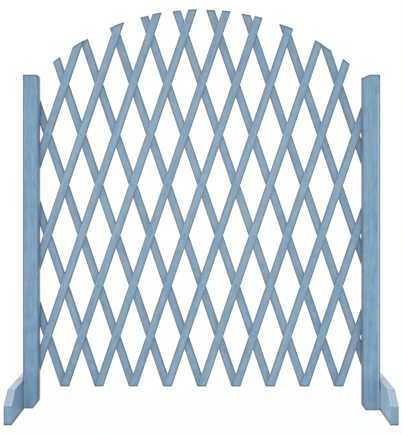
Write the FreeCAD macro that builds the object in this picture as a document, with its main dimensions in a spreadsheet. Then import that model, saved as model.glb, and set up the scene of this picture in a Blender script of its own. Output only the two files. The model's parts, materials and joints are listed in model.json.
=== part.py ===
import FreeCAD, Part
import math
import os
import Sketcher

# An arched expanding fence: a scissor lattice of painted slats that slides in two slotted posts,
# each post standing on a foot board. Millimetres, +Z up, origin on the ground at the middle of
# the fence, the front faces -Y.

# Driving dimensions
SIZES = {
    # lattice, with the fence opened as it stands at rest
    "pivot_spacing": 143.4,
    "pivot_span": 922,
    "lowest_crossing_height": 56.7,
    "bottom_height": 59,
    "arch_height": 1072.9,
    "arch_shoulder_width": 40.2,
    "arch_side_shift": 4.9,
    "slat_width": 21.8,
    "slat_thickness": 6,
    "slat_edge_round": 1,
    # rivets of the lattice
    "rivet_shank_diameter": 3,
    "rivet_head_diameter": 7,
    "rivet_head_height": 1.2,
    "rivet_clearance": 0.2,
    "running_gap": 0.3,
    # posts, made of two stiles and the strip between them
    "post_top_height": 895.5,
    "front_stile_depth": 20,
    "front_arris_round": 5,
    "back_stile_depth": 12,
    "back_stile_inset": 5,
    "stile_edge_round": 0.75,
    "edge_strip_width": 3.5,
    "channel_clearance": 0.5,
    "slat_end_clearance": 0.3,
    "base_block_width": 22,
    "base_block_height": 32,
    # widths, gaps to the ground and inner corners that differ between the two posts
    "left_post_width": 42.2,
    "left_post_ground_gap": 5,
    "left_foot_corner_width": 16,
    "left_foot_corner_height": 19.5,
    "left_top_corner_width": 5.5,
    "left_top_corner_height": 5.5,
    "right_post_width": 47.5,
    "right_post_ground_gap": 0.5,
    "right_foot_corner_width": 9,
    "right_foot_corner_height": 12,
    "right_top_corner_width": 18.5,
    "right_top_corner_height": 8.5,
    # brads that hold each post together
    "brad_diameter": 1.2,
    "brad_head_diameter": 2,
    "brad_head_height": 0.8,
    "brad_bite": 12,
    "brad_end_distance": 40,
    # screw and washer at each post pivot
    "pivot_screw_diameter": 5,
    "pivot_head_diameter": 9.5,
    "pivot_head_height": 2.6,
    "pivot_screw_bite": 14,
    "pivot_clearance": 0.2,
    "washer_diameter": 14,
    "washer_thickness": 1,
    # feet and their screws
    "foot_length": 290,
    "foot_height": 79.5,
    "foot_end_height": 48,
    "foot_slope_run": 42,
    "foot_thickness": 20,
    "foot_edge_round": 1.5,
    "foot_screw_diameter": 4,
    "foot_screw_head_diameter": 8,
    "foot_screw_head_depth": 2.6,
    "foot_screw_length": 45,
    "foot_screw_height": 20,
    "foot_screw_rise": 36,
    # cross recess in the heads of all screws
    "recess_span_share": 0.62,
    "recess_width": 1.2,
    "recess_depth": 1.2,
}

# Counts of the lattice grid: columns are half cells wide, and each slat has one pivot in a row
COLUMNS = 20
POST_PIVOT_ROW = 2
FIRST_RISING_LINE = -4
SLATS_PER_LAYER = 12
BRADS_PER_POST = 8
FOOT_SCREW_ROWS = 2
STILES_PER_POST = 2

# How close two levels are to count as the same, in millimetres
SAME_LEVEL = 1e-4

# Upright and level directions that pieces are turned about
ACROSS_AXIS = (1, 0, 0)
DEPTH_AXIS = (0, 1, 0)
UPRIGHT_AXIS = (0, 0, 1)
QUARTER_TURN = 90
FULL_TURN = 360

# Index of each point of a line or arc in a sketch
START_INDEX = 1
END_INDEX = 2
CENTRE_INDEX = 3

# Sides of the fence: the sign of X and the name of each post
SIDES = {"left": -1, "right": 1}

doc = FreeCAD.newDocument("ExpandingFence")
sheet = doc.addObject("Spreadsheet::Sheet", "Sizes")
for row, (alias, length) in enumerate(SIZES.items(), start=1):
    sheet.set(f"A{row}", alias)
    sheet.set(f"B{row}", str(length))
    sheet.setAlias(f"B{row}", alias)
doc.recompute()


def cell(alias):
    return f"Sizes.{alias}"


def number(expression):
    """Present value of an expression of the sheet, in millimetres or degrees."""
    found = sheet.evalExpression(expression)
    return float(getattr(found, "Value", found))


# Derived sizes, as expressions of the sheet
LEAN = f"asin({cell('pivot_span')} / {COLUMNS} / {cell('pivot_spacing')})"
COLUMN_STEP = f"({cell('pivot_span')} / {COLUMNS})"
ROW_STEP = f"({cell('pivot_spacing')} * cos({LEAN}))"
HALF_SPAN = f"({cell('pivot_span')} / 2)"
HALF_SLAT = f"({cell('slat_width')} / 2)"
STRIP_INNER = f"({HALF_SPAN} + {HALF_SLAT} / cos({LEAN}) + {cell('slat_end_clearance')})"
POST_OUTER = f"({STRIP_INNER} + {cell('edge_strip_width')})"
POST_INNER = {side: f"({POST_OUTER} - {cell(f'{side}_post_width')})" for side in SIDES}
LATTICE_DEPTH = (
    f"(2 * ({cell('slat_thickness')} + {cell('running_gap')} + {cell('rivet_head_height')}))"
)
CHANNEL_DEPTH = f"({LATTICE_DEPTH} + 2 * {cell('channel_clearance')})"
POST_DEPTH = f"({cell('front_stile_depth')} + {CHANNEL_DEPTH} + {cell('back_stile_depth')})"
POST_BACK = f"({POST_DEPTH} / 2)"
CHANNEL_BACK = f"({POST_BACK} - {cell('back_stile_depth')})"
CHANNEL_FRONT = f"({CHANNEL_BACK} - {CHANNEL_DEPTH})"
POST_FRONT = f"({CHANNEL_FRONT} - {cell('front_stile_depth')})"
FRONT_LAYER_FRONT = f"({CHANNEL_FRONT} + {cell('channel_clearance')} + {cell('rivet_head_height')})"
FRONT_LAYER_BACK = f"({FRONT_LAYER_FRONT} + {cell('slat_thickness')})"
BACK_LAYER_BACK = f"({FRONT_LAYER_BACK} + {cell('running_gap')} + {cell('slat_thickness')})"
LOWEST_ROW = cell("lowest_crossing_height")
POST_PIVOT_HEIGHT = f"({LOWEST_ROW} + {POST_PIVOT_ROW} * {ROW_STEP})"
ARCH_RISE = f"({cell('arch_height')} - {cell('post_top_height')})"
ARCH_HALF = f"({POST_OUTER} - {cell('arch_shoulder_width')})"
ARCH_RADIUS = f"(({ARCH_HALF} * {ARCH_HALF} + {ARCH_RISE} * {ARCH_RISE}) / (2 * {ARCH_RISE}))"
ARCH_CENTRE = f"({cell('arch_height')} - {ARCH_RADIUS})"
ARCH_MIDDLE = f"(-{cell('arch_side_shift')})"
MID_STRIP = f"({STRIP_INNER} + {cell('edge_strip_width')} / 2)"

# Rows of pivots that fit under the top of the arch
ROWS = math.floor(number(f"({cell('arch_height')} - {LOWEST_ROW}) / {ROW_STEP}"))


# Helpers for sketches and bodies
def new_body(label):
    body = doc.addObject("PartDesign::Body", label)
    body.Label = label
    return body


def origin_feature(body, role):
    return next(part for part in body.Origin.OriginFeatures if part.Role == role)


def new_sketch(body, plane):
    sketch = body.newObject("Sketcher::SketchObject", f"{body.Name}_sketch")
    sketch.AttachmentSupport = [(origin_feature(body, plane), "")]
    sketch.MapMode = "FlatFace"
    return sketch


def hold(sketch, geometry, point, axis, expression):
    """Ties one coordinate of a sketch point to an expression of the sheet."""
    index = sketch.addConstraint(
        Sketcher.Constraint(f"Distance{axis}", -1, 1, geometry, point, number(expression))
    )
    sketch.setExpression(f"Constraints[{index}]", expression)


def arc(via, centre_axis, centre):
    """Arc from a corner to the next one: a point that it passes and one coordinate that places
    its centre."""
    return {"via": via, "axis": centre_axis, "centre": centre}


def outline(sketch, corners):
    """Closed outline through corners, each a pair of expressions, and an arc where the side that
    starts there is round."""
    first = len(sketch.Geometry)
    spots = [corner[:2] for corner in corners]
    arcs = {side: corner[2] for side, corner in enumerate(corners) if len(corner) > len(spots[0])}
    places = [FreeCAD.Vector(number(x), number(y), 0) for x, y in spots]
    ends = places[1:] + places[:1]
    for side, (start, end) in enumerate(zip(places, ends)):
        if side in arcs:
            via_x, via_y = arcs[side]["via"]
            via = FreeCAD.Vector(number(via_x), number(via_y), 0)
            sketch.addGeometry(Part.Arc(start, via, end))
        else:
            sketch.addGeometry(Part.LineSegment(start, end))
    count = len(corners)
    for side, corner in enumerate(ends):
        here = first + side
        after = first + (side + 1) % count
        here_end = end_at(sketch, here, corner)
        after_end = end_at(sketch, after, corner)
        sketch.addConstraint(Sketcher.Constraint("Coincident", here, here_end, after, after_end))
    for side, (x, y) in enumerate(spots):
        point = end_at(sketch, first + side, places[side])
        hold(sketch, first + side, point, "X", x)
        hold(sketch, first + side, point, "Y", y)
    for side, curve in arcs.items():
        hold(sketch, first + side, CENTRE_INDEX, curve["axis"], curve["centre"])
    return sketch


def end_at(sketch, index, corner):
    """Which end of a line or arc lies at a corner."""
    start_gap = sketch.getPoint(index, START_INDEX).distanceToPoint(corner)
    end_gap = sketch.getPoint(index, END_INDEX).distanceToPoint(corner)
    return START_INDEX if start_gap < end_gap else END_INDEX


def pad(body, sketch, length):
    feature = body.newObject("PartDesign::Pad", f"{body.Name}_pad")
    feature.Profile = sketch
    feature.setExpression("Length", length)
    return feature


def pocket_through(body, sketch):
    """Pocket through the whole body, whichever side its sketch lies on."""
    feature = body.newObject("PartDesign::Pocket", f"{body.Name}_pocket")
    feature.Profile = sketch
    feature.Type = "ThroughAll"
    feature.Midplane = True
    doc.recompute()
    return feature


def revolve(body, sketch):
    feature = body.newObject("PartDesign::Revolution", f"{body.Name}_turned")
    feature.Profile = sketch
    feature.ReferenceAxis = (sketch, ["V_Axis"])
    feature.Angle = FULL_TURN
    return feature


def round_edges(body, base, radius, wanted):
    """Rounds the edges of base for which wanted(edge) is true."""
    doc.recompute()
    edges = base.Shape.Edges
    names = [f"Edge{index}" for index, edge in enumerate(edges, start=1) if wanted(edge)]
    feature = body.newObject("PartDesign::Fillet", f"{body.Name}_round")
    feature.Base = (base, names)
    feature.setExpression("Radius", radius)
    doc.recompute()
    return feature


def repeat(body, originals, role, length, copies):
    """Linear pattern along one of the body's own axes."""
    feature = body.newObject("PartDesign::LinearPattern", f"{body.Name}_row")
    feature.Originals = originals
    feature.Direction = (origin_feature(body, role), [""])
    feature.setExpression("Length", length)
    feature.Occurrences = copies
    body.Tip = feature
    doc.recompute()
    return feature


def place(part, x, y, z, turn=None):
    """Puts a part at expressions of the sheet, with a turn where it has one."""
    spot = FreeCAD.Vector(number(x), number(y), number(z))
    part.Placement = FreeCAD.Placement(spot, turn or FreeCAD.Rotation())
    for axis, expression in (("x", x), ("y", y), ("z", z)):
        part.setExpression(f"Placement.Base.{axis}", expression)


def turned_about(axis, degrees):
    return FreeCAD.Rotation(FreeCAD.Vector(*axis), degrees)


def lies_on(edge, axis, level):
    """True where the whole edge lies at one level along an axis."""
    box = edge.BoundBox
    low = getattr(box, f"{axis}Min")
    high = getattr(box, f"{axis}Max")
    return abs(low - level) < SAME_LEVEL and abs(high - level) < SAME_LEVEL


parts = []


def finish(label, source, tools=()):
    """Sub-part made of source, less the solids of tools where there are any."""
    if tools:
        cut = doc.addObject("Part::Cut", label)
        cut.Base = source
        if len(tools) == 1:
            cut.Tool = tools[0]
        else:
            bundle = doc.addObject("Part::Compound", f"{label}_tools")
            bundle.Links = list(tools)
            cut.Tool = bundle
        source = cut
    source.Label = label
    parts.append(source)
    return source


# Lattice grid
def node_x(column):
    return f"(({column} - {COLUMNS // 2}) * {COLUMN_STEP})"


def node_z(row):
    return f"({LOWEST_ROW} + {row} * {ROW_STEP})"


RISING_LINES = [FIRST_RISING_LINE + 2 * count for count in range(SLATS_PER_LAYER)]
FALLING_LINES = [COLUMNS - line for line in reversed(RISING_LINES)]


def wood_above(column, row):
    """Height of wood left between a node and the sawn top of the lattice, which is level with
    the posts inside them and follows the arch between them."""
    x = number(node_x(column)) - number(ARCH_MIDDLE)
    top = number(cell("post_top_height"))
    if abs(x) < number(ARCH_HALF):
        radius = number(ARCH_RADIUS)
        reach = math.sqrt(radius * radius - x * x)
        top = number(ARCH_CENTRE) + math.copysign(reach, radius)
    return top - number(node_z(row))


def is_pinned(column, row):
    """True where a rising and a falling slat cross inside the fence."""
    inside = 0 <= column <= COLUMNS and 0 < row <= ROWS
    crossing = column - row in RISING_LINES and column + row in FALLING_LINES
    return inside and crossing and wood_above(column, row) > number(HALF_SLAT)


def is_post_pivot(column, row):
    return row == POST_PIVOT_ROW and column in (0, COLUMNS)


def slat_rows(line, direction):
    """First and last row of a slat before it is sawn. The rows below 0 and above ROWS are
    where the blank runs on past the bottom cut and the arch."""
    if direction > 0:
        first = -line if line < 0 else -1
        last = COLUMNS - line if COLUMNS - line < ROWS else ROWS + 1
    else:
        first = line - COLUMNS if line > COLUMNS else -1
        last = line if line < ROWS else ROWS + 1
    return first, last


def make_template():
    """Outline that the whole lattice is sawn to: level at the bottom, arched between the posts."""
    body = new_body("sawing_template")
    sketch = new_sketch(body, "XZ_Plane")
    low = cell("bottom_height")
    shoulder = cell("post_top_height")
    arch = arc((ARCH_MIDDLE, cell("arch_height")), "Y", ARCH_CENTRE)
    corners = [
        (f"-{POST_OUTER}", low),
        (POST_OUTER, low),
        (POST_OUTER, shoulder),
        (f"{ARCH_MIDDLE} + {ARCH_HALF}", shoulder, arch),
        (f"{ARCH_MIDDLE} - {ARCH_HALF}", shoulder),
        (f"-{POST_OUTER}", shoulder),
    ]
    outline(sketch, corners)
    pad(body, sketch, POST_DEPTH)
    place(body, "0", POST_BACK, "0")
    return body


def make_slat(label, line, direction, template):
    """One slat: direction is 1 for a slat that rises to the right and -1 for one that falls."""
    first, last = slat_rows(line, direction)
    spans = last - first
    body = new_body(f"{label}_blank")
    sketch = new_sketch(body, "XZ_Plane")
    length = f"({spans} * {cell('pivot_spacing')})"
    corners = [
        (HALF_SLAT, "0"),
        (HALF_SLAT, length, arc(("0", f"{length} + {HALF_SLAT}"), "Y", length)),
        (f"-{HALF_SLAT}", length),
        (f"-{HALF_SLAT}", "0", arc(("0", f"-{HALF_SLAT}"), "Y", "0")),
    ]
    outline(sketch, corners)
    blank = pad(body, sketch, cell("slat_thickness"))
    depth = number(cell("slat_thickness"))
    round_edges(
        body,
        blank,
        cell("slat_edge_round"),
        lambda edge: lies_on(edge, "Y", 0) or lies_on(edge, "Y", -depth),
    )
    rows = range(first, last + 1)
    nodes = [(line + direction * row, row) for row in rows]
    pinned = [node for node in nodes if is_pinned(*node)]
    riveted = [row for column, row in pinned if not is_post_pivot(column, row)]
    post_rows = [row for column, row in pinned if is_post_pivot(column, row)]
    drill_row(body, "rivet_shank_diameter", "rivet_clearance", riveted, first)
    drill_row(body, "pivot_screw_diameter", "pivot_clearance", post_rows, first)
    lean = turned_about(DEPTH_AXIS, direction * number(LEAN))
    layer = FRONT_LAYER_BACK if direction > 0 else BACK_LAYER_BACK
    place(body, node_x(line + direction * first), layer, node_z(first), lean)
    sawn = doc.addObject("Part::Common", label)
    sawn.Base = body
    sawn.Tool = template
    return finish(label, sawn), riveted


def drill_row(body, diameter, clearance, rows, first):
    """Drills one hole at the lowest of rows and repeats it at each further pivot."""
    if not rows:
        return
    sketch = new_sketch(body, "XZ_Plane")
    radius = f"({cell(diameter)} / 2 + {cell(clearance)})"
    height = f"({rows[0] - first} * {cell('pivot_spacing')})"
    centre = FreeCAD.Vector(0, number(height), 0)
    hole = Part.Circle(centre, FreeCAD.Vector(0, 0, 1), number(radius))
    sketch.addGeometry(hole)
    size = sketch.addConstraint(Sketcher.Constraint("Radius", 0, number(radius)))
    sketch.setExpression(f"Constraints[{size}]", radius)
    hold(sketch, 0, CENTRE_INDEX, "X", "0")
    hold(sketch, 0, CENTRE_INDEX, "Y", height)
    before = body.Shape.Volume
    drilled = pocket_through(body, sketch)
    if len(rows) > 1:
        reach = f"({len(rows) - 1} * {cell('pivot_spacing')})"
        repeat(body, [drilled], "Z_Axis", reach, len(rows))
    if body.Shape.Volume >= before:
        raise RuntimeError(f"{body.Name} is not drilled")


def make_rivets(label, line, rows):
    """Rivets along one rising slat: a low front head, the shank and a low clinched head."""
    body = new_body(label)
    sketch = new_sketch(body, "XY_Plane")
    head = f"({cell('rivet_head_diameter')} / 2)"
    shank = f"({cell('rivet_shank_diameter')} / 2)"
    dome = cell("rivet_head_height")
    front_seat = FRONT_LAYER_FRONT
    back_seat = f"({BACK_LAYER_BACK} + {cell('running_gap')})"
    dome_radius = f"(({head} * {head} + {dome} * {dome}) / (2 * {dome}))"
    # A dome starts through this point and its centre then sets its true curve
    dome_width_share = 0.7
    dome_height_share = 0.5
    across = f"{dome_width_share} * {head}"
    front_dome = (across, f"{front_seat} - {dome_height_share} * {dome}")
    back_dome = (across, f"{back_seat} + {dome_height_share} * {dome}")
    front_centre = f"{front_seat} - {dome} + {dome_radius}"
    back_centre = f"{back_seat} + {dome} - {dome_radius}"
    corners = [
        ("0", f"{front_seat} - {dome}", arc(front_dome, "Y", front_centre)),
        (head, front_seat),
        (shank, front_seat),
        (shank, back_seat),
        (head, back_seat, arc(back_dome, "Y", back_centre)),
        ("0", f"{back_seat} + {dome}"),
    ]
    outline(sketch, corners)
    turned = revolve(body, sketch)
    reach = f"({len(rows) - 1} * {cell('pivot_spacing')})"
    repeat(body, [turned], "Z_Axis", reach, len(rows))
    lean = turned_about(DEPTH_AXIS, number(LEAN))
    place(body, node_x(line + rows[0]), "0", node_z(rows[0]), lean)
    return finish(label, body)


template = make_template()
for count, line in enumerate(RISING_LINES, start=1):
    slat, rivet_rows = make_slat(f"rising_slat_{count:02d}", line, 1, template)
    make_rivets(f"rivets_{count:02d}", line, rivet_rows)
for count, line in enumerate(FALLING_LINES, start=1):
    make_slat(f"falling_slat_{count:02d}", line, -1, template)


# Fasteners of the posts
def recess(body, head_diameter):
    """Outline of the cross recess of a screw head, in the body's own XZ plane."""
    reach = f"({cell(head_diameter)} * {cell('recess_span_share')} / 2)"
    arm = f"({cell('recess_width')} / 2)"
    corners = []
    quarter = [(reach, f"-{arm}"), (reach, arm), (arm, arm)]
    for turn in range(FULL_TURN // QUARTER_TURN):
        for across, along in quarter:
            for _ in range(turn):
                across, along = f"-({along})", across
            corners.append((across, along))
    sketch = new_sketch(body, "XZ_Plane")
    outline(sketch, corners)
    return sketch


def make_pivot_screw(label, sign):
    """Pan-head screw through the back stile and both slats into the front stile."""
    body = new_body(label)
    sketch = new_sketch(body, "XY_Plane")
    shank = f"({cell('pivot_screw_diameter')} / 2)"
    head = f"({cell('pivot_head_diameter')} / 2)"
    seat = f"({POST_BACK} + {cell('washer_thickness')})"
    tip = f"({CHANNEL_FRONT} - {cell('pivot_screw_bite')})"
    crown = f"({seat} + {cell('pivot_head_height')})"
    corners = [
        ("0", tip),
        (f"{shank} / 2", tip),
        (shank, f"{tip} + {shank} / 2"),
        (shank, seat),
        (head, seat),
        (head, f"{seat} + {cell('pivot_head_height')} / 2"),
        (f"{head} - {cell('pivot_head_height')} / 2", crown),
        ("0", crown),
    ]
    outline(sketch, corners)
    turned = revolve(body, sketch)
    doc.recompute()
    cross = recess(body, "pivot_head_diameter")
    cross.setExpression("AttachmentOffset.Base.z", f"-{crown}")
    sink(body, cross, turned)
    place(body, f"{sign} * {HALF_SPAN}", "0", POST_PIVOT_HEIGHT)
    return finish(label, body)


def sink(body, sketch, before):
    """Pocket of the recess depth, towards -Y, that must take material away."""
    feature = body.newObject("PartDesign::Pocket", f"{body.Name}_recess")
    feature.Profile = sketch
    feature.setExpression("Length", cell("recess_depth"))
    feature.Reversed = True
    doc.recompute()
    if body.Shape.Volume >= before.Shape.Volume:
        raise RuntimeError(f"{body.Name} has no recess")
    return feature


def make_washer(label, sign, screw):
    """Flat washer between the back stile and the head of the pivot screw."""
    disc = doc.addObject("Part::Cylinder", f"{label}_disc")
    disc.setExpression("Radius", f"{cell('washer_diameter')} / 2")
    disc.setExpression("Height", cell("washer_thickness"))
    backward = turned_about(ACROSS_AXIS, -QUARTER_TURN)
    place(disc, f"{sign} * {HALF_SPAN}", POST_BACK, POST_PIVOT_HEIGHT, backward)
    return finish(label, disc, (screw,))


def make_brads(label, side):
    """Row of brads driven from the back through the edge strip into the front stile."""
    body = new_body(label)
    sketch = new_sketch(body, "XY_Plane")
    shank = f"({cell('brad_diameter')} / 2)"
    head = f"({cell('brad_head_diameter')} / 2)"
    under_head = f"({POST_BACK} - {cell('brad_head_height')})"
    tip = f"({CHANNEL_FRONT} - {cell('brad_bite')})"
    corners = [
        ("0", tip),
        (shank, f"{tip} + {cell('brad_diameter')}"),
        (shank, under_head),
        (head, under_head),
        (head, POST_BACK),
        ("0", POST_BACK),
    ]
    outline(sketch, corners)
    turned = revolve(body, sketch)
    ground = cell(f"{side}_post_ground_gap")
    post_length = f"({cell('post_top_height')} - {ground})"
    reach = f"({post_length} - 2 * {cell('brad_end_distance')})"
    repeat(body, [turned], "Z_Axis", reach, BRADS_PER_POST)
    lowest = f"{ground} + {cell('brad_end_distance')}"
    place(body, f"{SIDES[side]} * {MID_STRIP}", "0", lowest)
    return finish(label, body)


def foot_fasteners(label, sign, recessed):
    """Four countersunk screws through the foot, two into each stile. Without the recess in
    their heads they are the drill that makes their holes."""
    body = new_body(label)
    sketch = new_sketch(body, "XY_Plane")
    shank = f"({cell('foot_screw_diameter')} / 2)"
    head = f"({cell('foot_screw_head_diameter')} / 2)"
    length = cell("foot_screw_length")
    corners = [
        ("0", f"-{length}"),
        (shank, f"-{length} + {cell('foot_screw_diameter')}"),
        (shank, f"-{cell('foot_screw_head_depth')}"),
        (head, "0"),
        ("0", "0"),
    ]
    outline(sketch, corners)
    features = [revolve(body, sketch)]
    doc.recompute()
    if recessed:
        features.append(sink(body, recess(body, "foot_screw_head_diameter"), features[0]))
    pattern = repeat(body, features, "Z_Axis", cell("foot_screw_rise"), FOOT_SCREW_ROWS)
    front_row = f"({POST_FRONT} + {cell('front_stile_depth')} / 2)"
    back_row = f"({POST_BACK} - {cell('back_stile_depth')} / 2)"
    pattern.Direction2 = (origin_feature(body, "X_Axis"), [""])
    pattern.setExpression("Length2", f"{back_row} - {front_row}")
    pattern.Occurrences2 = STILES_PER_POST
    doc.recompute()
    # The screw's own Y axis points out of the foot and its X axis runs along the foot
    outer_face = f"{sign} * ({POST_OUTER} + {cell('foot_thickness')})"
    first_row = front_row if sign < 0 else back_row
    outward = turned_about(UPRIGHT_AXIS, -sign * QUARTER_TURN)
    place(body, outer_face, first_row, cell("foot_screw_height"), outward)
    return body


# Wooden pieces of the posts
def stile_outline(body, side, inset):
    """Face of a stile whose inner edge is set back by inset, with its two corners cut off."""
    sketch = new_sketch(body, "XZ_Plane")
    sign = SIDES[side]
    inner = f"({POST_INNER[side]} + {inset})"
    low = cell(f"{side}_post_ground_gap")
    top = cell("post_top_height")
    foot_corner = f"({cell(f'{side}_foot_corner_width')} - {inset})"
    corners = [
        (f"{sign} * {POST_OUTER}", low),
        (f"{sign} * ({inner} + {foot_corner})", low),
        (f"{sign} * {inner}", f"{low} + {cell(f'{side}_foot_corner_height')}"),
        (f"{sign} * {inner}", f"{top} - {cell(f'{side}_top_corner_height')}"),
        (f"{sign} * ({inner} + {cell(f'{side}_top_corner_width')})", top),
        (f"{sign} * {POST_OUTER}", top),
    ]
    return outline(sketch, corners)


def make_front_stile(label, side, fasteners):
    body = new_body(f"{label}_board")
    sketch = stile_outline(body, side, "0")
    board = pad(body, sketch, cell("front_stile_depth"))
    front = -number(cell("front_stile_depth"))
    round_edges(
        body, board, cell("front_arris_round"), lambda edge: lies_on(edge, "Y", front)
    )
    place(body, "0", CHANNEL_FRONT, "0")
    return finish(label, body, fasteners)


def make_back_stile(label, side, fasteners):
    body = new_body(f"{label}_board")
    sketch = stile_outline(body, side, cell("back_stile_inset"))
    board = pad(body, sketch, cell("back_stile_depth"))
    round_edges(body, board, cell("stile_edge_round"), lambda edge: lies_on(edge, "Y", 0))
    place(body, "0", POST_BACK, "0")
    return finish(label, body, fasteners)


def make_block(label, near, far, low, high, tools):
    """Straight block in the channel between two distances from the middle of the fence."""
    block = doc.addObject("Part::Box", f"{label}_wood")
    left = near if number(near) < number(far) else far
    right = far if left == near else near
    block.setExpression("Length", f"{right} - ({left})")
    block.setExpression("Width", CHANNEL_DEPTH)
    block.setExpression("Height", f"{high} - {low}")
    place(block, left, CHANNEL_FRONT, low)
    return finish(label, block, tools)


def make_foot(label, sign, drill):
    body = new_body(f"{label}_board")
    sketch = new_sketch(body, "YZ_Plane")
    half = f"({cell('foot_length')} / 2)"
    shoulder = f"({half} - {cell('foot_slope_run')})"
    corners = [
        (f"-{half}", "0"),
        (half, "0"),
        (half, cell("foot_end_height")),
        (shoulder, cell("foot_height")),
        (f"-{shoulder}", cell("foot_height")),
        (f"-{half}", cell("foot_end_height")),
    ]
    outline(sketch, corners)
    board = pad(body, sketch, cell("foot_thickness"))
    thickness = number(cell("foot_thickness"))
    round_edges(
        body,
        board,
        cell("foot_edge_round"),
        lambda edge: (lies_on(edge, "X", 0) or lies_on(edge, "X", thickness))
        and not lies_on(edge, "Z", 0),
    )
    inner = POST_OUTER if sign > 0 else f"-({POST_OUTER} + {cell('foot_thickness')})"
    place(body, inner, "0", "0")
    return finish(label, body, (drill,))


for side, sign in SIDES.items():
    screw = make_pivot_screw(f"{side}_pivot_screw", sign)
    make_washer(f"{side}_washer", sign, screw)
    brads = make_brads(f"{side}_brads", side)
    foot_screws = f"{side}_foot_screws"
    finish(foot_screws, foot_fasteners(foot_screws, sign, recessed=True))
    drill = foot_fasteners(f"{side}_foot_drill", sign, recessed=False)
    make_front_stile(f"{side}_front_stile", side, (screw, brads, drill))
    make_back_stile(f"{side}_back_stile", side, (screw, brads, drill))
    make_foot(f"{side}_foot", sign, drill)
    ground = cell(f"{side}_post_ground_gap")
    strip_inner = f"{sign} * {STRIP_INNER}"
    make_block(
        f"{side}_edge_strip",
        strip_inner,
        f"{sign} * {POST_OUTER}",
        ground,
        cell("post_top_height"),
        (brads,),
    )
    make_block(
        f"{side}_base_block",
        strip_inner,
        f"{sign} * ({STRIP_INNER} - {cell('base_block_width')})",
        ground,
        f"({ground} + {cell('base_block_height')})",
        (),
    )

doc.recompute()

# Checks and output
for thing in doc.Objects:
    if any(word in thing.State for word in ("Invalid", "Error")):
        raise RuntimeError(f"{thing.Name} failed to build: {thing.State}")
for part in parts:
    if part.Shape.isNull() or not part.Shape.isValid():
        raise RuntimeError(f"{part.Label} has no valid shape")

os.makedirs("parts", exist_ok=True)
for part in parts:
    part.Shape.exportStep(f"parts/{part.Label}.step")
print(f"{len(parts)} sub-parts, post depth {number(POST_DEPTH):.2f} mm")
print(f"lean {number(LEAN):.4f} degrees, row step {number(ROW_STEP):.4f} mm")
print(f"post outer {number(POST_OUTER):.3f} mm, arch radius {number(ARCH_RADIUS):.2f} mm")
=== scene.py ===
import json
import math
from typing import NamedTuple

import bpy
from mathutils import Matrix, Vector


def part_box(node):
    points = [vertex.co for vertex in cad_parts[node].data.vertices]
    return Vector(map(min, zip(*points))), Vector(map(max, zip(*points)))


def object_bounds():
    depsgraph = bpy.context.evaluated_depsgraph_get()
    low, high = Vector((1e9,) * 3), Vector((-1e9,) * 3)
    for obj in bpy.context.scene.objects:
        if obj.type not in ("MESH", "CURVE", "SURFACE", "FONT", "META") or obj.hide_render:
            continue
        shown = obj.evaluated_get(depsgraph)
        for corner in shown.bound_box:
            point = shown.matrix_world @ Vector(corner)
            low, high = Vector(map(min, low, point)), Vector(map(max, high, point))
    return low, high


# Looks of the arched expanding fence: painted wood, painted rivets and zinc fasteners on the CAD
# nodes, on a plain white floor in soft studio light. Metres, +Z up, the front faces -Y.

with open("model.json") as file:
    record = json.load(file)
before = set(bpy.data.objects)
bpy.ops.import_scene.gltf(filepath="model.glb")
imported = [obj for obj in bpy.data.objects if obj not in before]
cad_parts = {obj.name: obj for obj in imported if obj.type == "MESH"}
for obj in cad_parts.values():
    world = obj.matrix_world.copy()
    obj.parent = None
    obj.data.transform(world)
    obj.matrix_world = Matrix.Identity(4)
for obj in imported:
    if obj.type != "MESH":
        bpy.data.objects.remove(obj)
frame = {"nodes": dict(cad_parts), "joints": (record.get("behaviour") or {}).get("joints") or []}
cad_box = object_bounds()

# Camera: it stands a little to the right of the middle, as high as the photograph's horizon
IMAGE_HEIGHT_PX = 434
HORIZON_PX = 167
SIDE_SHIFT_PX = -7.3
FOCAL_LENGTH_PX = 808
SENSOR_WIDTH_MM = 36
CAMERA_PLACE = (0.020, -2.174, 0.649)
CAMERA_TURN = math.radians(0.05)

# Paint and metal, as linear colours
PAINT_LIGHT = (0.203, 0.361, 0.494)
PAINT_DARK = (0.109, 0.240, 0.373)
PAINT_GREYED = (0.266, 0.338, 0.405)
# grime and painted shade on the slats' edges and side faces
EDGE_GRIME_AND_SHADE = (0.080, 0.101, 0.120)
# darker paint along the slats' sawn ends
SAWN_END_DARK = (0.052, 0.070, 0.088)
# grime and painted shade on the posts' arrises, ends and side faces and on the feet's edges, with
# painted shadow at the soles
POST_GRIME_AND_SHADE = (0.060, 0.095, 0.130)
SHADED_PAINT = (0.125, 0.262, 0.405)
# painted light and shade on the feet's inner faces: the right foot's lit, the left's shaded, with
# painted light next to the post
LEFT_SHADED_INNER_PAINT = (0.192, 0.362, 0.530)
RIGHT_LIT_INNER_PAINT = (0.387, 0.567, 0.707)
NEAR_POST_PAINTED_LIGHT = (0.75, 0.85, 0.92)
# bleaching and painted sheen on the feet's upward faces
BLEACHED_AND_SHEEN_PAINT = (0.46, 0.54, 0.61)
# pale painted light: in the groove beside a foot, and on the feet's level tops and slope ends
PALE_PAINTED_LIGHT = (0.60, 0.68, 0.76)
# painted highlight along the posts' outer arris and the feet's inner top arris
ARRIS_HIGHLIGHT_PAINT = (0.52, 0.66, 0.77)
ZINC = (0.56, 0.57, 0.58)
ZINC_DULL = (0.30, 0.31, 0.32)
FLOOR_COLOUR = (0.92, 0.92, 0.92)
WHITE = (1.0, 1.0, 1.0)

# Repeats per metre of grain, brush marks, tints and blotches, across a board and along it
GRAIN_ACROSS = 210
GRAIN_ALONG = 5
BRUSH_ACROSS = 900
BRUSH_ALONG = 22
TINT_ACROSS = 130
TINT_ALONG = 34
BLOTCHES = 60
FINE_DETAIL = 4
PLAIN_DETAIL = 2

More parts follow.
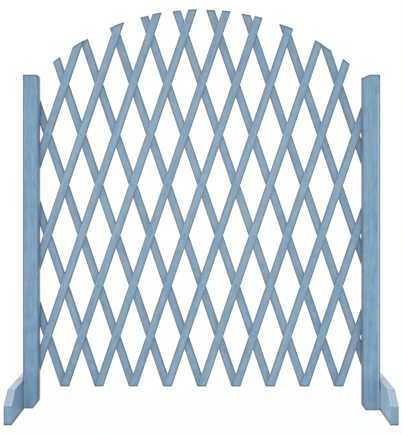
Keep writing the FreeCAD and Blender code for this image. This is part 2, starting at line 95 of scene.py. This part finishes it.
# How much grain the streaks hold, how much streak the paint shows, and where it turns from dark
# to light and from blue to grey
GRAIN_SHARE = 0.6
STREAK_SHARE = 0.7
SHOWN_STEPS = (0.34, 0.66)
GREYED_STEPS = (0.40, 0.62)
GREYED_SHARE = 0.48
POST_GREYED_SHARE = 0.30

# Tones, from 0 for dark to 1 for light paint: each slat has its own between two limits, and the
# back layer is darker with painted shade; the edge strips' light tone is painted light
MEAN_TONE = 0.5
FOOT_TONE = 0.80
STRIP_LIT_TONE = 1.0
RISING_TONES = (0.40, 0.66)
FALLING_SHADED_TONES = (0.24, 0.50)
RISING_SEED = 0
FALLING_SEED = 40

# Gloss and unevenness of the paint
PAINT_IOR = 1.48
FULL_GLOSS = 0.5
FOOT_GLOSS = 0.12
PAINT_BUMP = 0.20
PAINT_RELIEF = 0.0006
SATIN_ROUGHNESS = (0.38, 0.52)

# Zinc plate: mottles per metre, and where they turn from dull to bright
ZINC_MOTTLES = 700
MOTTLE_STEPS = (0.35, 0.65)
ZINC_ROUGHNESS = (0.30, 0.48)
ZINC_BUMP = 0.12
ZINC_RELIEF = 0.0002

# Parts of a normal that tell faces apart: the upward part a sloping top from a side and a level
# top from a slope, the sideways part a side face, and the frontward part a front or back
TOP_FACE_NORMALS = (0.4, 0.7)
LEVEL_FACE_NORMALS = (0.85, 0.95)
SIDE_FACE_NORMALS = (0.3, 0.6)
FRONT_FACE_NORMALS = (0.05, 0.45)

# Slats: how far in from an edge and from a sawn end the paint darkens, the rim that is darkest,
# and how dark each place is. The edges carry grime and painted shade, darker on the right than on
# the left; at a crossing the edges are less dark, with painted shadow kept on the right.
SLAT_WIDTH = 0.0218
SLAT_EDGE_WIDTH = 0.0047
SAWN_EDGE_WIDTH = 0.0058
SLAT_RIM = 0.0008
CROSSING_FADE = 0.0035
RIGHT_EDGE_SHARE = 1.0
LEFT_EDGE_SHARE = 0.82
SAWN_EDGE_SHARE = 0.92
SLAT_SIDE_SHARE = 0.55
LEFT_CROSSING_SHARE = 0.12
RIGHT_CROSSING_SHARE = 0.42

# Posts: how dark the grime and painted shade are on the outer and inner arrises, the ends and the
# side faces, the heights at the top and bottom that count as ends, the band over which the low part
# gets more painted shade, the turn at which an end's arris darkens, and the painted shade near the
# ground
POST_EDGE_SHARE = 0.60
INNER_EDGE_SHARE = 0.30
LOW_INNER_EDGE_SHARE = 0.75
TOP_EDGE_SHARE = 0.90
BOTTOM_EDGE_SHARE = 0.70
SIDE_FACE_SHARE = 0.26
LOW_SIDE_FACE_SHARE = 0.62
TOP_BAND = 0.012
BOTTOM_BAND = 0.021
LOW_BAND = (0.115, 0.085)
END_ARRIS_TURNS = (0.9995, 0.95)
GROUND_SHADE_HEIGHT = 0.085
GROUND_SHADE_SHARE = 0.06

# The painted highlight just inside an outer arris, the depths under the post's top between which it
# starts, and the groove between a post and its foot that is given painted light
HIGHLIGHT_INSET = 0.0059
HIGHLIGHT_WIDTH = 0.0014
HIGHLIGHT_TOP = (0.0475, 0.0530)
GROOVE_WIDTH = 0.013
GROOVE_START = 0.006


class PostLook(NamedTuple):
    """What differs between the posts' front boards: the tone of the paint, darker on the left post as
    painted shade, the frontward parts of a normal at which an arris starts to darken and is darkest,
    the heights between which the foot's influence ends, and how much of the painted light in the
    groove and of the painted highlight shows."""

    tone: float
    arris_turns: tuple
    foot_band: tuple
    groove_share: float
    highlight_share: float


# The left post's paint is a darker tone as painted shade
LEFT_POST = PostLook(0.28, (0.9995, 0.85), (0.064, 0.080), groove_share=0.38, highlight_share=0.0)
RIGHT_POST = PostLook(0.42, (0.985, 0.80), (0.040, 0.062), groove_share=0.48, highlight_share=0.95)

# Feet: the height of an end and the run of a slope, then how wide and how dark the grime and painted
# shade on the edges of the ends, slopes and soles are, with painted shadow along the soles and the left
# end's top darker
FOOT_END_HEIGHT = 0.048
FOOT_SLOPE_RUN = 0.042
FOOT_EDGE_WIDTH = 0.0052
SOLE_EDGE_WIDTH = 0.0060
INNER_SOLE_EDGE_WIDTH = 0.0110
END_TOP_WIDTH = 0.0045
FOOT_EDGE_SHARE = 0.75
SLOPE_EDGE_SHARE = 0.30
SOLE_EDGE_SHARE = 0.95
LEFT_END_SHARE = 0.45

# Upward faces of the feet: bleached and with painted sheen, palest where they are level with a painted
# reflection, more so on the left foot, with a painted highlight on the inner arris and at the low end
# of the slope
SLOPE_SHARE = 0.62
LEFT_LEVEL_SHARE = 0.80
RIGHT_LEVEL_SHARE = 0.62
SLOPE_END_WIDTH = 0.0030
SLOPE_END_SHARE = 0.45
ARRIS_WIDTH = 0.0050
ARRIS_SHARE = 0.70

# Inner faces of the feet, in bluer paint with painted light and shade: lighter on the right foot and
# darker on the left, with painted light next to the post and painted shade along the upper arris
INNER_LIGHT_SHARE = 0.90
NEAR_POST = (0.075, 0.025)
LEFT_NEAR_SHARE = 0.10
RIGHT_NEAR_SHARE = 0.55
UNDER_ARRIS_WIDTH = 0.0034
UNDER_ARRIS_SHARE = 0.40

# The lattice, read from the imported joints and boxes: a post's pivot lies two rows above the
# lowest crossing, and the slats of a layer lie two columns apart
PIVOT_ROW = 2
SLAT_COLUMNS = 2
joints = {joint["name"]: joint for joint in frame["joints"]}
climb = Vector(joints["falling_02_rivet"]["pos_m"]) - Vector(joints["falling_01_rivet"]["pos_m"])
LEAN = math.atan2(climb.x, climb.z)
SLAT_PITCH = SLAT_COLUMNS * climb.x * math.cos(LEAN)
LOWEST_CROSSING = Vector(joints["left_post_fold"]["pos_m"]).z - PIVOT_ROW * climb.z
LATTICE_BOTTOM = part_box("rising_slat_06")[0].z

# The arch, whose ends lie a shoulder inside the posts' outer faces and a little to the left
ARCH_SHOULDER = 0.0402
ARCH_MIDDLE = -0.0049
LEFT_FRONT = "left_front_stile"
RIGHT_FRONT = "right_front_stile"
post_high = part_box(RIGHT_FRONT)[1]
POST_TOP = post_high.z
FENCE_TOP = cad_box[1].z
ARCH_HALF = post_high.x - ARCH_SHOULDER
ARCH_RISE = FENCE_TOP - POST_TOP
ARCH_RADIUS = (ARCH_HALF**2 + ARCH_RISE**2) / (2 * ARCH_RISE)
ARCH_CENTRE = FENCE_TOP - ARCH_RADIUS

# A foot board; the two lie equally far from the middle
foot_low, foot_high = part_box("right_foot")
FOOT_MIDDLE = (foot_low.x + foot_high.x) / 2
FOOT_HALF_WIDTH = (foot_high.x - foot_low.x) / 2
FOOT_LENGTH = foot_high.y - foot_low.y
FOOT_HEIGHT = foot_high.z

# Floor and surroundings: how white the floor looks under the fence, the distances over which it
# turns fully white, and the light that comes from all round
FLOOR_SIZE = 200
FLOOR_WHITENESS = 0.93
SHADOW_REACH = (0.55, 1.10)
AMBIENT = 0.72

# Lamps: place, width and height in metres, power in watts, and the height that each looks at
KEY_PLACE = (-0.4, -6.4, 0.75)
KEY_SIZE = (2.4, 1.3)
KEY_WATTS = 20.4
KEY_AIM = -0.1
KEY_BEAM = math.radians(75)
TOP_PLACE = (0.1, 0.40, 3.4)
TOP_SIZE = (1.8, 1.8)
TOP_WATTS = 46
TOP_AIM = FENCE_TOP / 2
FULL_BEAM = math.pi

# Sockets that carry the two colours into a Mix node and the result out of it
MIX_FIRST = 6
MIX_SECOND = 7
MIX_RESULT = 2


class Graph:
    """A material's nodes, with a short call for each kind that the finishes share."""

    def __init__(self, tree):
        self.tree = tree
        tree.nodes.clear()

    def node(self, kind, inputs=None, **settings):
        made = self.tree.nodes.new(kind)
        for name, value in settings.items():
            setattr(made, name, value)
        for name, value in (inputs or {}).items():
            self.feed(made.inputs[name], value)
        return made

    def feed(self, socket, value):
        if isinstance(value, bpy.types.NodeSocket):
            self.tree.links.new(value, socket)
        else:
            socket.default_value = value

    def math(self, operation, first, second=0.0):
        return self.node("ShaderNodeMath", {0: first, 1: second}, operation=operation).outputs[0]

    def absolute(self, value):
        return self.math("ABSOLUTE", value)

    def minus(self, first, second):
        return self.math("SUBTRACT", first, second)

    def rest(self, share):
        return self.minus(1.0, share)

    def above(self, value, limit):
        return self.math("GREATER_THAN", value, limit)

    def below(self, value, limit):
        return self.math("LESS_THAN", value, limit)

    def times(self, *values):
        product = values[0]
        for value in values[1:]:
            product = self.math("MULTIPLY", product, value)
        return product

    def largest(self, *values):
        found = values[0]
        for value in values[1:]:
            found = self.math("MAXIMUM", found, value)
        return found

    def step(self, value, start, end):
        """Smooth step from 0 at start to 1 at end."""
        inputs = {"Value": value, "From Min": start, "From Max": end}
        made = self.node("ShaderNodeMapRange", inputs, interpolation_type="SMOOTHSTEP")
        return made.outputs["Result"]

    def spread(self, value, low, high):
        """Carries a value from 0 to 1 over to low to high."""
        inputs = {"Value": value, "To Min": low, "To Max": high}
        return self.node("ShaderNodeMapRange", inputs).outputs["Result"]

    def blend(self, share, first, second):
        """share of the first value and the rest of the second."""
        return self.math("ADD", self.times(first, share), self.times(second, 1 - share))

    def mix(self, factor, first, second):
        """The first colour at a factor of 0 and the second at 1."""
        made = self.node("ShaderNodeMix", {"Factor": factor}, data_type="RGBA")
        for socket, colour in ((MIX_FIRST, first), (MIX_SECOND, second)):
            varies = isinstance(colour, bpy.types.NodeSocket)
            self.feed(made.inputs[socket], colour if varies else (*colour, 1))
        return made.outputs[MIX_RESULT]

    def noise(self, vector, scale, detail):
        inputs = {"Vector": vector, "Scale": scale, "Detail": detail}
        return self.node("ShaderNodeTexNoise", inputs).outputs["Fac"]

    def split(self, vector):
        made = self.node("ShaderNodeSeparateXYZ", {"Vector": vector})
        return [made.outputs[axis] for axis in "XYZ"]

    def join(self, x, y, z):
        return self.node("ShaderNodeCombineXYZ", {"X": x, "Y": y, "Z": z}).outputs[0]

    def place(self):
        """Place on the part as it stands at rest, which moves along with it."""
        return self.node("ShaderNodeTexCoord").outputs["Object"]

    def normal(self):
        return self.split(self.node("ShaderNodeNewGeometry").outputs["Normal"])

    def sideways(self):
        """1 on the side faces and 0 on the others."""
        return self.step(self.absolute(self.normal()[0]), *SIDE_FACE_NORMALS)

    def frontward(self):
        """Size of the normal's part along the depth, 1 on a flat front or back."""
        return self.absolute(self.normal()[1])

    def facing_front(self):
        """1 on faces that look to the front or back, 0 on those that look along the fence."""
        return self.step(self.frontward(), *FRONT_FACE_NORMALS)


def new_material(name):
    material = bpy.data.materials.new(name)
    material.use_nodes = True
    return material, Graph(material.node_tree)


def shade(graph, colour, roughness, height, bump=PAINT_BUMP, relief=PAINT_RELIEF, metallic=0.0,
          gloss=FULL_GLOSS):
    """Principled surface with its output, bumped by height."""
    surface = graph.node("ShaderNodeBsdfPrincipled", {"Base Color": colour, "Roughness": roughness})
    surface.inputs["Metallic"].default_value = metallic
    surface.inputs["Specular IOR Level"].default_value = gloss
    surface.inputs["IOR"].default_value = PAINT_IOR
    inputs = {"Height": height, "Strength": bump, "Distance": relief}
    uneven = graph.node("ShaderNodeBump", inputs)
    graph.feed(surface.inputs["Normal"], uneven.outputs["Normal"])
    graph.node("ShaderNodeOutputMaterial", {"Surface": surface.outputs[0]})


def grained_paint(graph, across, depth, along, tone, greyed_share=GREYED_SHARE):
    """Colour, roughness and height of brushed paint over grain that runs along a board."""

    def stretched(wide, long):
        return graph.join(graph.times(across, wide), graph.times(depth, wide), graph.times(along, long))

    grain = graph.noise(stretched(GRAIN_ACROSS, GRAIN_ALONG), 1.0, FINE_DETAIL)
    brush = graph.noise(stretched(BRUSH_ACROSS, BRUSH_ALONG), 1.0, PLAIN_DETAIL)
    tint = graph.noise(stretched(TINT_ACROSS, TINT_ALONG), 1.0, PLAIN_DETAIL)
    blotch = graph.noise(graph.join(across, depth, along), BLOTCHES, FINE_DETAIL)
    streaks = graph.blend(GRAIN_SHARE, grain, brush)
    shown = graph.step(graph.blend(STREAK_SHARE, streaks, blotch), *SHOWN_STEPS)
    level = graph.math("ADD", shown, graph.minus(tone, MEAN_TONE))
    colour = graph.mix(level, PAINT_DARK, PAINT_LIGHT)
    greyed = graph.times(graph.step(tint, *GREYED_STEPS), greyed_share)
    colour = graph.mix(greyed, colour, PAINT_GREYED)
    return colour, graph.spread(blotch, *SATIN_ROUGHNESS), streaks


def leaning(graph, lean):
    """Place on a layer of slats that lean: across them, through them and along them, with the
    number of the nearest slat and the distance from its middle."""
    origin = (0, 0, LOWEST_CROSSING)
    above = graph.node("ShaderNodeVectorMath", {0: graph.place(), 1: origin}, operation="SUBTRACT")
    turned = graph.node("ShaderNodeMapping", {"Vector": above.outputs[0], "Rotation": (0, -lean, 0)})
    across, depth, along = graph.split(turned.outputs[0])
    slats = graph.math("DIVIDE", across, SLAT_PITCH)
    number = graph.math("ROUND", slats)
    offset = graph.times(graph.minus(slats, number), SLAT_PITCH)
    return across, depth, along, number, offset


def slat_edges(graph, offset, crossing_offset):
    """Share of grime and painted shade along a slat's two edges, less where it crosses the other layer.
    """
    half = SLAT_WIDTH / 2
    start = half - SLAT_EDGE_WIDTH
    rim = half - SLAT_RIM
    clear = graph.step(graph.absolute(crossing_offset), half, half + CROSSING_FADE)
    right_share = graph.spread(clear, RIGHT_CROSSING_SHARE * RIGHT_EDGE_SHARE, RIGHT_EDGE_SHARE)
    left_share = graph.spread(clear, LEFT_CROSSING_SHARE * LEFT_EDGE_SHARE, LEFT_EDGE_SHARE)
    right = graph.times(graph.step(offset, start, rim), right_share)
    left = graph.times(graph.step(offset, -start, -rim), left_share)
    return graph.largest(left, right)


def sawn_ends(graph):
    """Share of dark paint at the slats' sawn ends, along the arch and along the bottom."""
    x, _, z = graph.split(graph.place())
    centre = {0: graph.join(x, 0.0, z), 1: (ARCH_MIDDLE, 0, ARCH_CENTRE)}
    reach = graph.node("ShaderNodeVectorMath", centre, operation="DISTANCE").outputs["Value"]
    arched = graph.step(reach, ARCH_RADIUS - SAWN_EDGE_WIDTH, ARCH_RADIUS - SLAT_RIM)
    arched = graph.times(arched, graph.above(z, POST_TOP))
    level = graph.step(z, LATTICE_BOTTOM + SAWN_EDGE_WIDTH, LATTICE_BOTTOM + SLAT_RIM)
    return graph.times(graph.largest(arched, level), SAWN_EDGE_SHARE)


def slat_paint(name, lean, seed, tones):
    """Paint of one layer of slats, each in its own tone, with dark edges and sawn ends."""
    material, graph = new_material(name)
    across, depth, along, number, offset = leaning(graph, lean)
    crossing_offset = leaning(graph, -lean)[-1]
    chance = {"W": graph.math("ADD", number, seed)}
    draw = graph.node("ShaderNodeTexWhiteNoise", chance, noise_dimensions="1D").outputs["Value"]
    tone = graph.spread(draw, *tones)
    colour, roughness, height = grained_paint(graph, across, depth, along, tone)

    on_face = graph.spread(graph.facing_front(), SLAT_SIDE_SHARE, 1.0)
    edges = graph.times(slat_edges(graph, offset, crossing_offset), on_face)
    # grime and painted shade on the slat's edges and side faces
    colour = graph.mix(edges, colour, EDGE_GRIME_AND_SHADE)
    colour = graph.mix(graph.times(sawn_ends(graph), on_face), colour, SAWN_END_DARK)
    shade(graph, colour, roughness, height)
    return material


def upright_grain(graph, tone):
    """Colour, roughness and height of an upright board, with painted shade near the ground."""
    x, y, z = graph.split(graph.place())
    colour, roughness, height = grained_paint(graph, x, y, z, tone, POST_GREYED_SHARE)
    # painted shade near the ground
    ground_shade = graph.times(graph.step(z, GROUND_SHADE_HEIGHT, 0.0), GROUND_SHADE_SHARE)
    return graph.mix(ground_shade, colour, SHADED_PAINT), roughness, height


def board_paint(name, tone=MEAN_TONE):
    """Paint of the back stiles, edge strips and base blocks."""
    material, graph = new_material(name)
    colour, roughness, height = upright_grain(graph, tone)
    shade(graph, colour, roughness, height)
    return material


def highlight_line(graph, offset, z, middle):
    """Share of a painted highlight line at an offset, which starts a little under the post's top."""
    rise = graph.step(offset, middle - HIGHLIGHT_WIDTH, middle)
    fall = graph.step(offset, middle + HIGHLIGHT_WIDTH, middle)
    return graph.times(rise, fall, graph.step(z, *(POST_TOP - depth for depth in HIGHLIGHT_TOP)))


def dark_arrises(graph, offset, z, board_bottom, turns):
    """Share of grime and painted shade on a front board's rounded arrises and at its two ends."""
    frontward = graph.frontward()
    low = graph.step(z, *LOW_BAND)
    inner_share = graph.spread(low, INNER_EDGE_SHARE, LOW_INNER_EDGE_SHARE)
    edge_share = graph.spread(graph.above(offset, 0.0), inner_share, POST_EDGE_SHARE)
    edges = graph.times(graph.step(frontward, *turns), edge_share)
    top = graph.times(graph.above(z, POST_TOP - TOP_BAND), TOP_EDGE_SHARE)
    bottom = graph.times(graph.below(z, board_bottom + BOTTOM_BAND), BOTTOM_EDGE_SHARE)
    ends = graph.times(graph.step(frontward, *END_ARRIS_TURNS), graph.largest(top, bottom))
    return graph.largest(edges, ends)


def front_board_paint(name, board, look):
    """Paint of a post's front board, with grime and painted shade on its arrises and side faces, a
    painted highlight inside its outer arris and painted light in the groove beside the foot."""
    material, graph = new_material(name)
    x, _, z = graph.split(graph.place())
    colour, roughness, height = upright_grain(graph, look.tone)
    low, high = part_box(board)
    half = (high.x - low.x) / 2
    outward = math.copysign(1, low.x)
    offset = graph.times(graph.minus(x, (low.x + high.x) / 2), outward)
    above_foot = graph.step(z, *look.foot_band)
    near_foot = graph.rest(above_foot)

    line = half - HIGHLIGHT_INSET
    highlight = graph.times(highlight_line(graph, offset, z, line), above_foot, look.highlight_share)
    # painted highlight just inside the outer arris
    colour = graph.mix(highlight, colour, ARRIS_HIGHLIGHT_PAINT)

    front = graph.facing_front()
    arrises = graph.times(dark_arrises(graph, offset, z, low.z, look.arris_turns), front)
    side_share = graph.spread(graph.step(z, *LOW_BAND), SIDE_FACE_SHARE, LOW_SIDE_FACE_SHARE)
    sides = graph.times(graph.sideways(), graph.rest(front), side_share)
    foot_start = graph.step(z, low.z, low.z + GROOVE_START)
    beside_foot = graph.times(graph.above(offset, line), near_foot, foot_start)
    dark = graph.times(graph.largest(arrises, sides), graph.rest(beside_foot))
    # grime and painted shade on the arrises, ends and side faces
    colour = graph.mix(dark, colour, POST_GRIME_AND_SHADE)

    # painted light in the groove beside the foot, making up for its shade
    groove = graph.step(offset, half - GROOVE_WIDTH, half)
    groove = graph.times(groove, look.groove_share, near_foot)
    colour = graph.mix(groove, colour, PALE_PAINTED_LIGHT)
    shade(graph, colour, roughness, height)
    return material


def bleached_and_sheen_top(graph, colour, offset, to_end, right_side, top):
    """A foot's colour with its upward faces bleached and given painted sheen, reflection and
    highlights.
    """
    level = graph.step(graph.normal()[2], *LEVEL_FACE_NORMALS)
    level_share = graph.spread(right_side, LEFT_LEVEL_SHARE, RIGHT_LEVEL_SHARE)
    low_end = graph.times(graph.step(to_end, SLOPE_END_WIDTH, 0.0), SLOPE_END_SHARE)
    inner_arris = graph.step(offset, ARRIS_WIDTH - FOOT_HALF_WIDTH, -FOOT_HALF_WIDTH)
    # bleaching and painted sheen on the upward faces, painted reflection on the level ones, and painted
    # highlights at the slope's low end and along the inner arris
    colour = graph.mix(graph.times(top, SLOPE_SHARE), colour, BLEACHED_AND_SHEEN_PAINT)
    colour = graph.mix(graph.times(level, level_share), colour, PALE_PAINTED_LIGHT)
    colour = graph.mix(graph.times(top, low_end), colour, PALE_PAINTED_LIGHT)
    return graph.mix(graph.times(inner_arris, top, ARRIS_SHARE), colour, ARRIS_HIGHLIGHT_PAINT)


def lit_and_shaded_inner_face(graph, colour, y, right_side, inner_face):
    """A foot's colour with painted light and shade on its inner face."""
    # painted light and shade on the inner faces: the right foot's lit, the left's shaded, and painted
    # light next to the post
    inner_light = graph.mix(right_side, LEFT_SHADED_INNER_PAINT, RIGHT_LIT_INNER_PAINT)
    near_share = graph.spread(right_side, LEFT_NEAR_SHARE, RIGHT_NEAR_SHARE)
    near = graph.times(graph.step(graph.absolute(y), *NEAR_POST), near_share)
    inner_light = graph.mix(near, inner_light, NEAR_POST_PAINTED_LIGHT)
    return graph.mix(graph.times(inner_face, INNER_LIGHT_SHARE), colour, inner_light)


def below_ridge(graph, to_end, z):
    """Depth below a foot's upper edge, which slopes down to each end."""
    slope = {"From Max": FOOT_SLOPE_RUN, "To Min": FOOT_END_HEIGHT, "To Max": FOOT_HEIGHT}
    ridge = graph.node("ShaderNodeMapRange", {"Value": to_end, **slope}).outputs["Result"]
    return graph.minus(ridge, z)


def foot_paint(name):
    """Paint of the foot boards, whose grain runs from front to back."""
    material, graph = new_material(name)
    x, y, z = graph.split(graph.place())
    colour, roughness, height = grained_paint(graph, z, x, y, FOOT_TONE)
    offset = graph.minus(graph.absolute(x), FOOT_MIDDLE)
    right_side = graph.above(x, 0.0)
    to_end = graph.minus(FOOT_LENGTH / 2, graph.absolute(y))
    top = graph.step(graph.normal()[2], *TOP_FACE_NORMALS)
    front = graph.facing_front()
    inner_face = graph.times(graph.below(offset, 0.0), graph.rest(graph.largest(top, front)))
    colour = bleached_and_sheen_top(graph, colour, offset, to_end, right_side, top)
    colour = lit_and_shaded_inner_face(graph, colour, y, right_side, inner_face)

    rim = graph.step(offset, FOOT_HALF_WIDTH - FOOT_EDGE_WIDTH, FOOT_HALF_WIDTH)
    below_top = graph.step(z, FOOT_END_HEIGHT, FOOT_END_HEIGHT - FOOT_EDGE_WIDTH)
    outer = graph.times(rim, front, below_top, FOOT_EDGE_SHARE)
    slope_edge = graph.times(rim, top, SLOPE_EDGE_SHARE)
    end_share = graph.spread(right_side, LEFT_END_SHARE, 0.0)
    end_top = graph.step(z, FOOT_END_HEIGHT - END_TOP_WIDTH, FOOT_END_HEIGHT)
    end_top = graph.times(end_top, end_share, front, graph.rest(top))
    sole = graph.times(graph.step(z, SOLE_EDGE_WIDTH, 0.0), SOLE_EDGE_SHARE)
    inner_sole = graph.times(graph.step(z, INNER_SOLE_EDGE_WIDTH, 0.0), inner_face)
    under_arris = graph.step(below_ridge(graph, to_end, z), UNDER_ARRIS_WIDTH, 0.0)
    under_arris = graph.times(under_arris, UNDER_ARRIS_SHARE, inner_face)
    # grime and painted shade on the feet's edges, with painted shadow at the soles
    dark = graph.largest(outer, slope_edge, end_top, sole, inner_sole, under_arris)
    shade(graph, graph.mix(dark, colour, POST_GRIME_AND_SHADE), roughness, height, gloss=FOOT_GLOSS)
    return material


def zinc_steel(name):
    """Zinc plate with its mottled bright and dull patches."""
    material, graph = new_material(name)
    mottle = graph.noise(graph.place(), ZINC_MOTTLES, FINE_DETAIL)
    colour = graph.mix(graph.step(mottle, *MOTTLE_STEPS), ZINC_DULL, ZINC)
    roughness = graph.spread(mottle, *ZINC_ROUGHNESS)
    shade(graph, colour, roughness, mottle, ZINC_BUMP, ZINC_RELIEF, metallic=1.0)
    return material


# Finish of each CAD node, by the first of these words in its name
zinc = zinc_steel("zinc_steel")
plain_board = board_paint("board_paint")
rising_paint = slat_paint("rising_slat_paint", LEAN, RISING_SEED, RISING_TONES)
FINISHES = (
    ("rising_slat", rising_paint),
    ("falling_slat", slat_paint("falling_slat_paint", -LEAN, FALLING_SEED, FALLING_SHADED_TONES)),
    ("rivets", rising_paint),
    (LEFT_FRONT, front_board_paint("left_front_paint", LEFT_FRONT, LEFT_POST)),
    (RIGHT_FRONT, front_board_paint("right_front_paint", RIGHT_FRONT, RIGHT_POST)),
    ("back_stile", plain_board),
    # edge strips in a lighter tone, painted light making up for their shade
    ("edge_strip", board_paint("strip_paint", STRIP_LIT_TONE)),
    ("base_block", plain_board),
    ("screw", zinc),
    ("brads", zinc),
    ("washer", zinc),
    ("foot", foot_paint("foot_paint")),
)
for name, piece in frame["nodes"].items():
    piece.data.materials.clear()
    piece.data.materials.append(next(material for word, material in FINISHES if word in name))


def seen_rays(graph):
    """1 for rays from the camera and in reflections, which see a white background."""
    light = graph.node("ShaderNodeLightPath").outputs
    return graph.largest(light["Is Camera Ray"], light["Is Glossy Ray"], light["Is Transmission Ray"])


def floor_paint(name):
    """Pale floor that looks white, and keeps a faint shadow near the fence."""
    material, graph = new_material(name)
    matt = graph.node("ShaderNodeBsdfDiffuse", {"Color": (*FLOOR_COLOUR, 1)})
    glow = graph.node("ShaderNodeEmission", {"Color": (*WHITE, 1), "Strength": 1.0})
    away = graph.node("ShaderNodeVectorMath", {0: graph.place()}, operation="LENGTH")
    far = graph.step(away.outputs["Value"], *SHADOW_REACH)
    share = graph.times(seen_rays(graph), graph.spread(far, FLOOR_WHITENESS, 1.0))
    blend = graph.node("ShaderNodeMixShader", {0: share, 1: matt.outputs[0], 2: glow.outputs[0]})
    graph.node("ShaderNodeOutputMaterial", {"Surface": blend.outputs[0]})
    return material


bpy.ops.mesh.primitive_plane_add(size=FLOOR_SIZE)
floor = bpy.context.object
floor.name = "floor"
floor.data.materials.append(floor_paint("floor"))

world = bpy.data.worlds.new("studio")
world.use_nodes = True
bpy.context.scene.world = world
studio = Graph(world.node_tree)
strength = studio.spread(seen_rays(studio), AMBIENT, 1.0)
sky = studio.node("ShaderNodeBackground", {"Color": (*WHITE, 1), "Strength": strength})
studio.node("ShaderNodeOutputWorld", {"Surface": sky.outputs[0]})


def area_light(name, place, size, watts, aim, beam):
    """Rectangular lamp that looks at a height in the middle of the fence."""
    lamp = bpy.data.lights.new(name, "AREA")
    lamp.shape = "RECTANGLE"
    lamp.size, lamp.size_y = size
    lamp.energy = watts
    lamp.spread = beam
    holder = bpy.data.objects.new(name, lamp)
    holder.location = place
    towards = Vector((0, 0, aim)) - Vector(place)
    holder.rotation_euler = towards.to_track_quat("-Z", "Y").to_euler()
    bpy.context.scene.collection.objects.link(holder)


area_light("key_light", KEY_PLACE, KEY_SIZE, KEY_WATTS, KEY_AIM, KEY_BEAM)
area_light("top_light", TOP_PLACE, TOP_SIZE, TOP_WATTS, TOP_AIM, FULL_BEAM)

camera = bpy.data.cameras.new("camera")
camera.sensor_width = SENSOR_WIDTH_MM
camera.lens = FOCAL_LENGTH_PX * SENSOR_WIDTH_MM / IMAGE_HEIGHT_PX
camera.shift_x = SIDE_SHIFT_PX / IMAGE_HEIGHT_PX
camera.shift_y = (HORIZON_PX - IMAGE_HEIGHT_PX / 2) / IMAGE_HEIGHT_PX
eye = bpy.data.objects.new("camera", camera)
eye.location = CAMERA_PLACE
eye.rotation_euler = (math.pi / 2, 0, CAMERA_TURN)
bpy.context.scene.collection.objects.link(eye)
bpy.context.scene.camera = eye
bpy.context.scene.view_settings.view_transform = "Standard"
